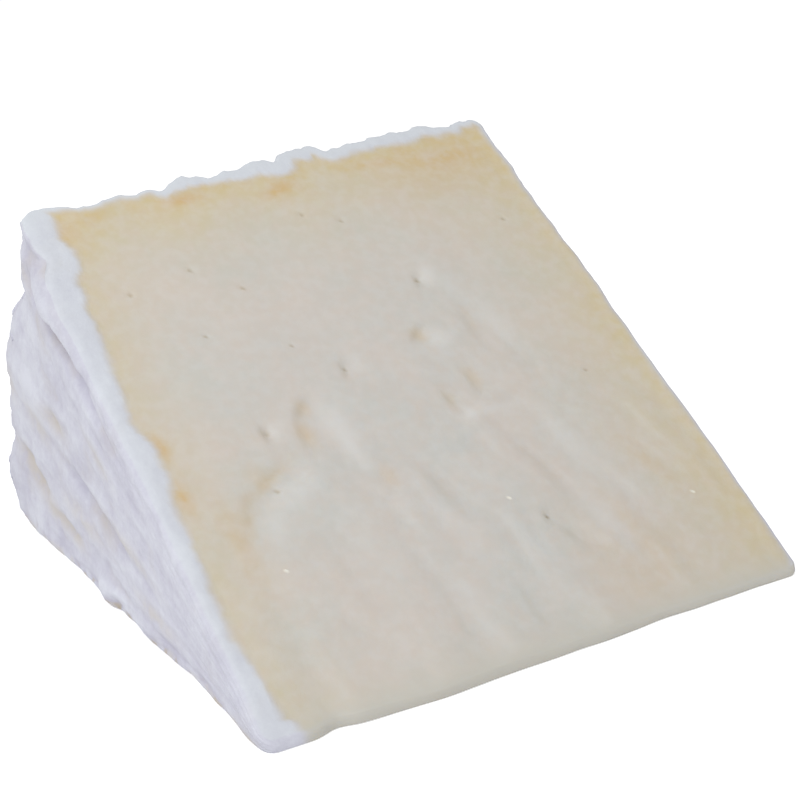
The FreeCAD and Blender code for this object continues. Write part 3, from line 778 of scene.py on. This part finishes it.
def cheese_material(scene, name, roughness, specular, depth, sheen, fuzz):
    """One finish of the skin. Rind and paste share their colours, so they blend where they meet."""
    rind, paste = scene.cheese_rind, scene.cheese_paste
    material, tree, shader = new_material(name)
    place = add_node(tree, "ShaderNodeTexCoord", out="Object")

    def mark(attribute, out="Fac"):
        return add_node(tree, "ShaderNodeAttribute", out=out, attribute_name=attribute)

    def speckle(vector, scale, detail, roughness):
        links = {"Vector": vector, "Scale": scale, "Detail": detail, "Roughness": roughness}
        return add_node(tree, "ShaderNodeTexNoise", links, "Fac")

    def grain(size, detail=2.0, roughness=0.5):
        """Noise with features of a real size in millimetres."""
        return speckle(place, 1 / (size * MM), detail, roughness)

    def streaks(stretch, detail, roughness):
        """Noise drawn out along the streaks, its size given as features per millimetre."""
        links = {0: mark("skin", "Vector"), 1: stretch}
        drawn = add_node(tree, "ShaderNodeVectorMath", links, 0, operation="MULTIPLY")
        return speckle(drawn, 1.0, detail, roughness)

    def span(value, low, high, out_low=0.0, out_high=1.0):
        links = {"Value": value, "From Min": low, "From Max": high, "To Min": out_low, "To Max": out_high}
        return add_node(tree, "ShaderNodeMapRange", links, "Result")

    def join(operation, first, *others):
        for other in others:
            first = add_node(tree, "ShaderNodeMath", {0: first, 1: other}, 0, operation=operation)
        return first

    def cover(colour, *coats):
        """Lays one colour after another over the first: each coat is its share and its colour."""
        for share, coat in coats:
            links = {"Factor": share, 6: colour, 7: linear(coat) if isinstance(coat, str) else coat}
            colour = add_node(tree, "ShaderNodeMix", links, 2, data_type="RGBA")
        return colour

    relief, on_rind, on_flat = mark("relief"), mark("rind"), mark("flat")
    ripe, eye, stain = mark("ripe"), mark("eye"), mark("stain")

    # Paste: ivory with greyer patches, yellow and amber under the rind, and painted light: painted shade in
    # dents, pinholes and at the tip, painted highlight on slopes that face the light.
    amber = join("MULTIPLY", span(ripe, 0.75, 1.0), span(grain(6), 0.45, 0.75), 0.4)
    # The stains add their amber, which inside dents is painted shade.
    amber = join("ADD", amber, stain)
    colour = cover(
        linear(paste.ivory),
        (span(grain(13), 0.35, 0.68), paste.cool),
        (span(ripe, 0.0, 0.9), paste.ripe),
        (span(amber, 0.0, 0.85, 0.0, 0.85), paste.amber),
        (span(grain(2.2, 4), 0.4, 0.7, 0.0, 0.35), paste.warm),
        (span(grain(1.7, 4), 0.6, 0.35, 0.0, 0.2), paste.pale),
        # Painted shade on slopes that fall away from the light on the left, painted highlight on those that
        # rise towards it.
        (span(relief, -0.1, -0.5, 0.0, 0.35), paste.eye),
        (span(relief, 0.06, 0.3, 0.0, 0.5), paste.pale),
        # Painted highlight from the pale stains.
        (span(stain, 0.0, -1.0, 0.0, 0.75), paste.pale),
        # Painted shade of the nose, where it turns down towards the floor.
        (span(mark("tip"), 0.1, 0.9, 0.0, 0.8), paste.tip),
        # Painted shade inside the pinholes.
        (span(eye, 0.15, 0.9, 0.0, 0.5), paste.eye),
        (span(eye, -0.2, -0.8), paste.crystal))

    # Rind: painted shade makes the furrows greyer and the high mould takes the bright colour, with patches,
    # streaks and a fine grain. Worn and stained places let the cream skin through, cream also shows in
    # patches where the relief is low, and painted shade darkens the foot where it meets the floor. Round
    # the upper cut the fuzz colour is the loose mould and partly a painted highlight of that top edge.
    streaky = span(streaks((0.08, 0.5, 1.0), 4.0, 0.6), 0.35, 0.65, -0.1, 0.1)
    lit = join(
        "ADD", span(relief, -0.9, 0.9), span(grain(6, 6, 0.68), 0.35, 0.65, -0.28, 0.36),
        join("MULTIPLY", streaky, on_flat), span(grain(1.3, 4, 0.7), 0.35, 0.65, -0.15, 0.15))
    worn_and_foot_shade = join("MULTIPLY", span(grain(7, 4), 0.5, 0.75, 0.0, 0.6), span(relief, 0.3, -0.6))
    worn_and_foot_shade = join("MAXIMUM", worn_and_foot_shade, join("MULTIPLY", stain, span(grain(3, 3), 0.25, 0.5)))
    mould = cover(
        linear(rind.shaded),
        (lit, rind.bright),
        (worn_and_foot_shade, rind.cream),
        # Painted shade: the darkest specks at the foot, where it meets the floor, take the eye colour.
        (span(relief, -1.4, -2.8, 0.0, 0.75), paste.eye),
        (span(mark("fringe"), 0.0, 1.0, 0.0, 0.7), rind.fuzz))

    # Fine relief: velvet on the rind with fibres along the streaks, soft grain on both.
    fibres = join("MULTIPLY", streaks((0.3, 1.4, 1.0), 3.0, 0.5), on_flat)
    heights = (
        (0.3 * fuzz, 0.2, fibres),
        (0.46 * fuzz + 0.05, 0.14, grain(0.6, 4, 0.65)),
        (0.35, 0.14, grain(2.2, 3)))
    bump = {}
    for strength, size, value in heights:
        links = {"Strength": strength, "Distance": size * MM, "Height": value, **bump}
        bump = {"Normal": add_node(tree, "ShaderNodeBump", links, "Normal")}

    feed(tree, shader, {
        "Base Color": cover(colour, (on_rind, mould)), **bump, "Roughness": roughness,
        "Specular IOR Level": specular, "Subsurface Weight": depth,
        "Subsurface Radius": (1.0, 0.8, 0.55), "Subsurface Scale": 1.0 * MM,
        "Sheen Weight": sheen, "Sheen Roughness": 0.6})
    return material


def mould_material(scene):
    """Loose mould, grown: dead matt, white and a little uneven."""
    looks = scene.cheese_rind
    material, tree, shader = new_material("bloomy_mould_fuzz")
    place = add_node(tree, "ShaderNodeTexCoord", out="Object")
    patches = add_node(tree, "ShaderNodeTexNoise", {"Vector": place, "Scale": 1 / (2.5 * MM)}, "Fac")
    links = {"Factor": patches, 6: linear(looks.shaded), 7: linear(looks.bright)}
    colour = add_node(tree, "ShaderNodeMix", links, 2, data_type="RGBA")
    feed(tree, shader, {"Base Color": colour, "Roughness": 0.95, "Specular IOR Level": 0.2})
    return material


# Least and greatest widths and height of a tuft, as shares of the tuft size.
TUFT_LEAST, TUFT_MOST = (0.7, 0.6, 0.3), (2.0, 1.5, 0.6)
# Greatest lean and turn of a tuft, in radians.
TUFT_TURN = (0.04, 0.04, 6.28)
# How deep a tuft is sunk into the rind, as a share of the tuft size.
TUFT_SINK = 0.08
TUFT_SEED = 5


def tuft_tree(material):
    """Geometry Nodes that stand small tufts of mould where the skin's tuft mark says, on the heel."""
    tree = bpy.data.node_groups.new("mould_tufts", "GeometryNodeTree")
    inputs = {"Geometry": "Geometry", "Density": "Float", "Size": "Float", "Sink": "Float", "Seed": "Int"}
    for name, kind in inputs.items():
        tree.interface.new_socket(name, in_out="INPUT", socket_type="NodeSocket" + kind)
    tree.interface.new_socket("Geometry", in_out="OUTPUT", socket_type="NodeSocketGeometry")
    given = add_node(tree, "NodeGroupInput").outputs

    def geometry_node(kind, links, out="Geometry", **settings):
        return add_node(tree, "GeometryNode" + kind, links, out, **settings)

    def scaled(vector, scale):
        return add_node(tree, "ShaderNodeVectorMath", {0: vector, "Scale": scale}, 0, operation="SCALE")

    def draw(low, high):
        links = {"Min": low, "Max": high, "Seed": given["Seed"]}
        return add_node(tree, "FunctionNodeRandomValue", links, "Value", data_type="FLOAT_VECTOR")

    def patches(scale, detail, low, high, out_low, out_high):
        links = {"Vector": place, "Scale": scale, "Detail": detail}
        value = add_node(tree, "ShaderNodeTexNoise", links, "Fac")
        links = {"Value": value, "From Min": low, "From Max": high, "To Min": out_low, "To Max": out_high}
        return add_node(tree, "ShaderNodeMapRange", links, "Result")

    place = geometry_node("InputPosition", {}, 0)
    density = patches(1 / (5 * MM), 2.0, 0.38, 0.6, 0.1, 1.0)
    on_heel = geometry_node("InputNamedAttribute", {"Name": "tuft"}, "Attribute", data_type="FLOAT")
    for share in (on_heel, given["Density"]):
        density = add_node(tree, "ShaderNodeMath", {0: density, 1: share}, 0, operation="MULTIPLY")
    links = {"Mesh": given["Geometry"], "Density": density, "Seed": given["Seed"]}
    spread = geometry_node("DistributePointsOnFaces", links, None).outputs
    # One uneven clump, which every tuft is a turned and stretched copy of.
    ball = geometry_node("MeshIcoSphere", {"Subdivisions": 2, "Radius": 0.5}, "Mesh")
    swell = scaled(geometry_node("InputNormal", {}, 0), patches(3.2, 1.0, 0.35, 0.65, -0.1, 0.1))
    clump = geometry_node("SetPosition", {"Geometry": ball, "Offset": swell})
    links = {"Rotation": spread["Rotation"], "Rotate By": draw((0, 0, 0), TUFT_TURN)}
    turn = add_node(tree, "FunctionNodeRotateRotation", links, "Rotation", rotation_space="LOCAL")
    size = scaled(draw(TUFT_LEAST, TUFT_MOST), given["Size"])
    # The tufts are sunk into the rind, so that they run together.
    sink = scaled(spread["Normal"], given["Sink"])
    sunk = geometry_node("SetPosition", {"Geometry": spread["Points"], "Offset": sink})
    links = {"Points": sunk, "Instance": clump, "Rotation": turn, "Scale": size}
    real = geometry_node("RealizeInstances", {"Geometry": geometry_node("InstanceOnPoints", links, 0)})
    soft = geometry_node("SetShadeSmooth", {"Geometry": real})
    painted = geometry_node("SetMaterial", {"Geometry": soft, "Material": material})
    add_node(tree, "NodeGroupOutput", {"Geometry": painted})
    return tree


def link(scene, name, data):
    """Puts a new object at the origin of the scene."""
    thing = bpy.data.objects.new(name, data)
    scene.collection.objects.link(thing)
    return thing


# Half the floor's width in metres, and the way from the cheese to the soft box.
BOARD_REACH = 4.0
KEY_SIDE = (-0.50, -0.29, 0.82)

# ---- Operators


class CHEESE_OT_wedge(bpy.types.Operator):
    """Build the wedge of cheese: its rind and its two knife cuts."""

    bl_idname = "cheese.wedge"
    bl_label = "Build the cheese"

    def execute(self, context):
        scene = context.scene
        wedge = link(scene, "cheese", make_skin(scene))
        # White mould rind, grown and patted down: dead matt and velvety, soft at its edges.
        wedge.data.materials.append(cheese_material(
            scene, "white_mould_rind", roughness=0.9, specular=0.2, depth=0.0, sheen=0.15, fuzz=1.0))
        # Pressed sheep cheese paste, cut by a knife: moist, satin and a little translucent.
        wedge.data.materials.append(cheese_material(
            scene, "aged_sheep_cheese_paste", roughness=0.5, specular=0.4, depth=0.25, sheen=0.0, fuzz=0.0))
        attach(wedge, BODY)
        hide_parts(NODE)
        return {"FINISHED"}


class CHEESE_OT_mould(bpy.types.Operator):
    """Grow tufts of mould on the heel with Geometry Nodes."""

    bl_idname = "cheese.mould"
    bl_label = "Grow the mould"

    def execute(self, context):
        scene = context.scene
        looks = scene.cheese_rind
        wedge = scene.objects.get("cheese")
        if wedge is None:
            raise RuntimeError("build the cheese before its mould")
        grown = link(scene, "mould_source", wedge.data.copy())
        tree = tuft_tree(mould_material(scene))
        modifier = grown.modifiers.new("tufts", "NODES")
        modifier.node_group = tree
        low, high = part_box(NODE)
        heel = (high.x - low.x) * (high.z - low.z)
        wanted = {
            "Density": looks.tufts / heel, "Size": looks.tuft_size,
            "Sink": -TUFT_SINK * looks.tuft_size, "Seed": TUFT_SEED}
        for item in tree.interface.items_tree:
            if item.in_out == "INPUT" and item.name in wanted:
                modifier[item.identifier] = wanted[item.name]
        graph = context.evaluated_depsgraph_get()
        mesh = bpy.data.meshes.new_from_object(grown.evaluated_get(graph))
        bpy.data.objects.remove(grown)
        tufts = link(scene, "mould_tufts", mesh)
        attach(tufts, BODY)
        return {"FINISHED"}


class CHEESE_OT_stage(bpy.types.Operator):
    """Set the floor, the light and the camera."""

    bl_idname = "cheese.stage"
    bl_label = "Set the stage"

    def execute(self, context):
        scene = context.scene
        looks = scene.cheese_stage
        floor_mesh = bpy.data.meshes.new("floor")
        corners = [(x * BOARD_REACH, y * BOARD_REACH, 0) for x, y in ((-1, -1), (1, -1), (1, 1), (-1, 1))]
        floor_mesh.from_pydata(corners, [], [(0, 1, 2, 3)])
        floor = link(scene, "floor", floor_mesh)
        board, tree, shader = new_material("white_studio_board")
        # The camera sees the board a little brighter than lit, so that it is plain white.
        seen = add_node(tree, "ShaderNodeLightPath", out="Is Camera Ray")
        lift = add_node(tree, "ShaderNodeMath", {0: seen, 1: looks.board_lift}, 0, operation="MULTIPLY")
        feed(tree, shader, {
            "Base Color": linear("#FFFFFF"), "Roughness": 1.0, "Specular IOR Level": 0.0,
            "Emission Strength": lift, "Emission Color": linear("#FFFFFF")})
        floor_mesh.materials.append(board)

        world = bpy.data.worlds.new("even_light")
        world.use_nodes = True
        scene.world = world
        tree = world.node_tree
        rays = add_node(tree, "ShaderNodeLightPath").outputs
        seen = rays["Is Camera Ray"]
        for other in (rays["Is Glossy Ray"], rays["Is Transmission Ray"]):
            seen = add_node(tree, "ShaderNodeMath", {0: seen, 1: other}, 0, operation="MAXIMUM")
        power = add_node(tree, "ShaderNodeMix", {"Factor": seen, "A": looks.sky, "B": 1.0}, 0)
        feed(tree, tree.nodes["Background"], {"Strength": power, "Color": linear("#FFFFFF")})

        lamp = bpy.data.lights.new("soft_box", "AREA")
        lamp.shape, lamp.size = "DISK", looks.key_size
        toward = Vector(KEY_SIDE).normalized()
        # A lamp of this power lights a surface that faces it as strongly as the key value says.
        lamp.energy = looks.key * math.pi * looks.key_far ** 2
        key = link(scene, "soft_box", lamp)
        key.location = toward * looks.key_far
        key.rotation_euler = toward.to_track_quat("Z", "Y").to_euler()

        data = bpy.data.cameras.new("camera")
        data.lens, data.sensor_width, data.clip_start = looks.lens, 36.0, 0.01
        camera = link(scene, "camera", data)
        stand, aim = Vector(looks.camera_place), Vector(looks.camera_aim)
        back = (stand - aim).normalized()
        side = Vector((0, 0, 1)).cross(back).normalized()
        turn = Matrix((side, back.cross(side), back)).transposed()
        turn = turn @ Matrix.Rotation(looks.camera_roll, 3, "Z")
        camera.matrix_world = Matrix.Translation(stand) @ turn.to_4x4()
        scene.camera = camera
        scene.view_settings.view_transform = "Standard"
        return {"FINISHED"}


class CHEESE_PT_panel(bpy.types.Panel):
    """Lists the steps that build the cheese."""

    bl_label = "Aged sheep cheese"
    bl_space_type = "VIEW_3D"
    bl_region_type = "UI"
    bl_category = "Cheese"

    def draw(self, context):
        for group in GROUPS:
            box = self.layout.box()
            owner = getattr(context.scene, group)
            for name in owner.__annotations__:
                box.prop(owner, name)
        for operator in OPERATORS:
            self.layout.operator(operator.bl_idname)


GROUPS = {
    "cheese_sizes": WedgeSizes, "cheese_rind": RindLooks, "cheese_paste": PasteLooks,
    "cheese_stage": StageLooks,
}
OPERATORS = (CHEESE_OT_stage, CHEESE_OT_wedge, CHEESE_OT_mould)


def register():
    for group, kind in GROUPS.items():
        bpy.utils.register_class(kind)
        setattr(bpy.types.Scene, group, PointerProperty(type=kind))
    for kind in OPERATORS + (CHEESE_PT_panel,):
        bpy.utils.register_class(kind)


def unregister():
    for kind in (CHEESE_PT_panel,) + OPERATORS[::-1]:
        bpy.utils.unregister_class(kind)
    for group, kind in GROUPS.items():
        delattr(bpy.types.Scene, group)
        bpy.utils.unregister_class(kind)


def main():
    """Builds everything in order."""
    register()
    bpy.ops.cheese.stage()
    bpy.ops.cheese.wedge()
    bpy.ops.cheese.mould()


if __name__ == "__main__":
    main()
